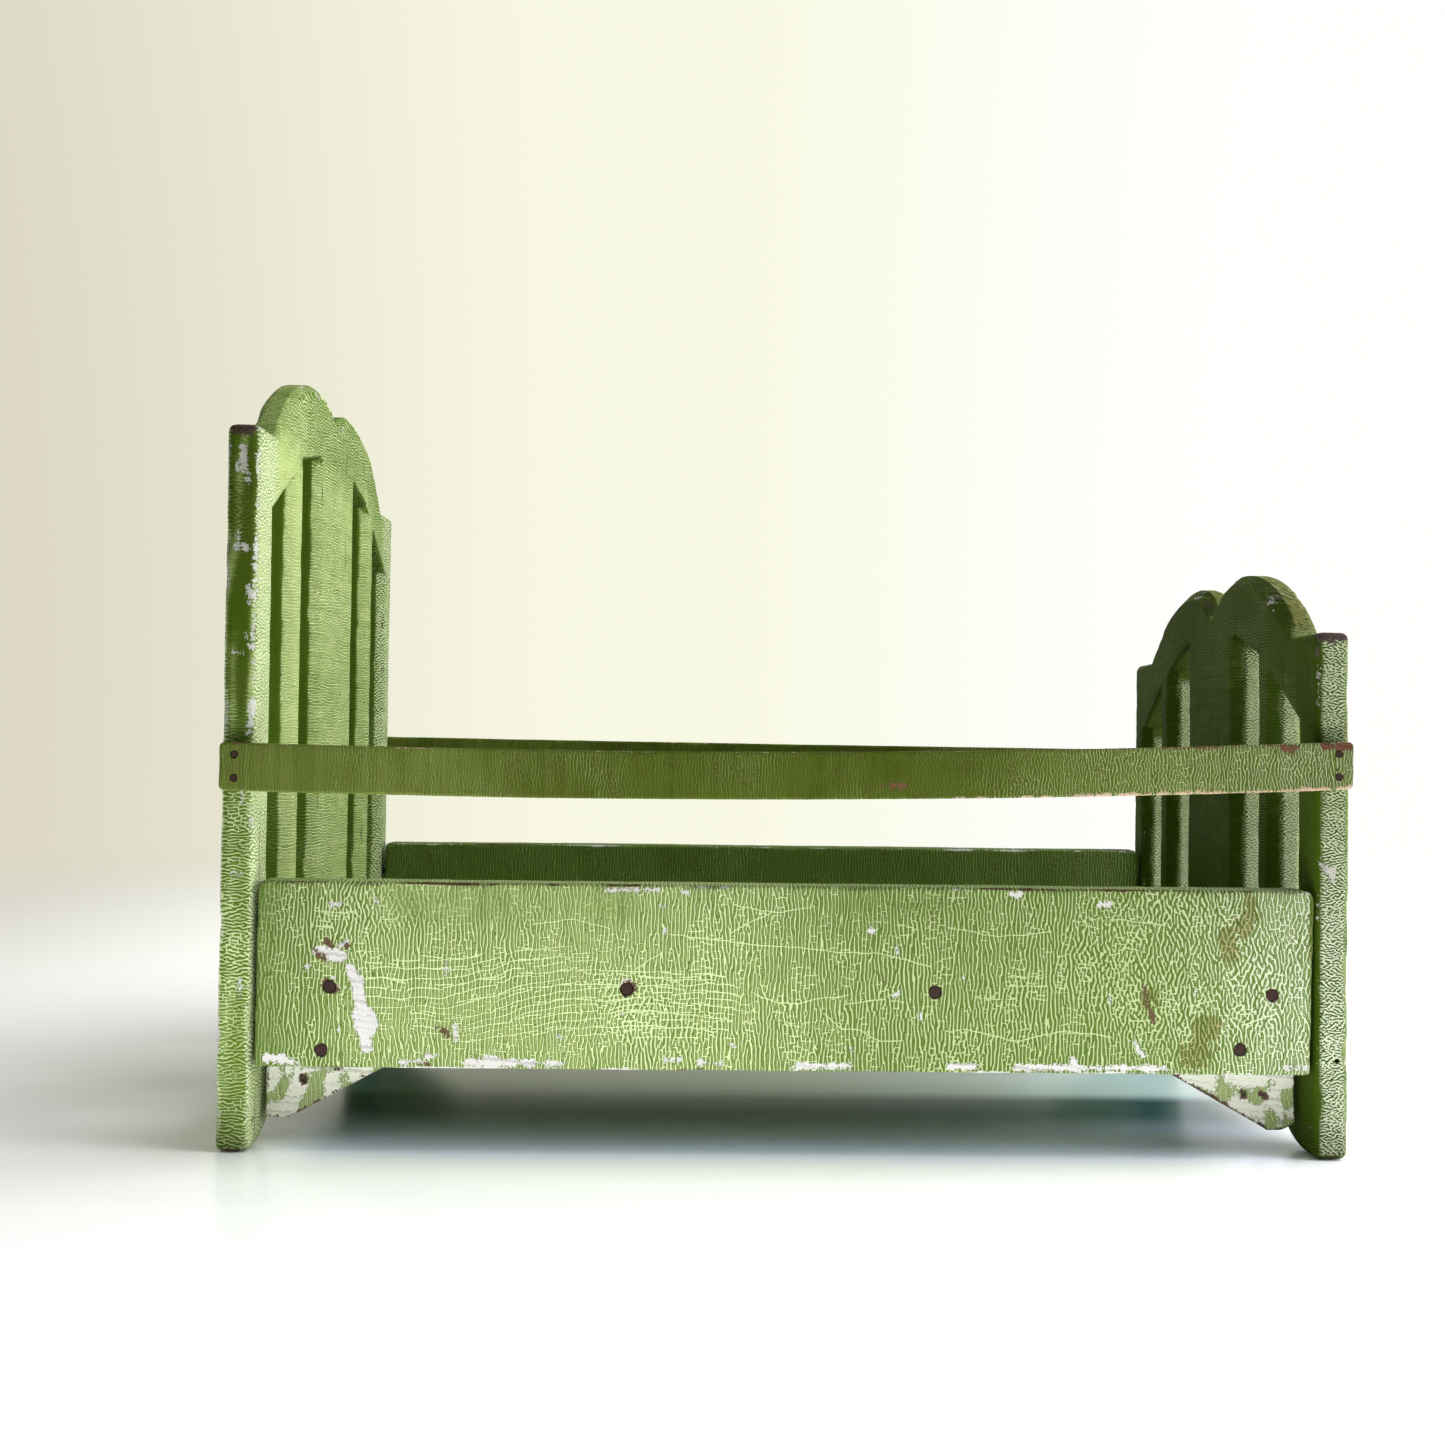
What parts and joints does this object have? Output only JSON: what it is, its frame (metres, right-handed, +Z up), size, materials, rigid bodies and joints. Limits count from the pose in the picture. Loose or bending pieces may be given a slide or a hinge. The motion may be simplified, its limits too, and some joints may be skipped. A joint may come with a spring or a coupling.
{
  "type": "doll bed",
  "caption": "Rigid wooden doll bed: lobed and slotted head and foot boards, plank sides, solid base board and thin side rails, finished in crackled paint.",
  "frame": {"origin": "on the floor, under the middle of the bed", "axes": "+X along the bed to the foot end, +Y across it to the rear side, +Z up"},
  "size_m": [0.4154, 0.2258, 0.2995],
  "materials": {
    "green_paint": "old crackled light green oil paint over a white undercoat, worn at the edges",
    "nail_steel": "rusted dark red-brown nail steel"
  },
  "bodies": {
    "root": {"headboard": "green_paint", "footboard": "green_paint", "bottom_board": "green_paint", "front_side_board": "green_paint", "rear_side_board": "green_paint", "front_rail": "green_paint", "rear_rail": "green_paint", "head_front_gusset": "green_paint", "head_rear_gusset": "green_paint", "foot_front_gusset": "green_paint", "foot_rear_gusset": "green_paint", "front_bottom_nails": "nail_steel", "rear_bottom_nails": "nail_steel", "front_gusset_nails": "nail_steel", "rear_gusset_nails": "nail_steel", "front_rail_brads": "nail_steel", "rear_rail_brads": "nail_steel", "head_end_nails": "nail_steel", "foot_end_nails": "nail_steel", "bottom_gusset_nails": "nail_steel"}
  },
  "joints": []
}
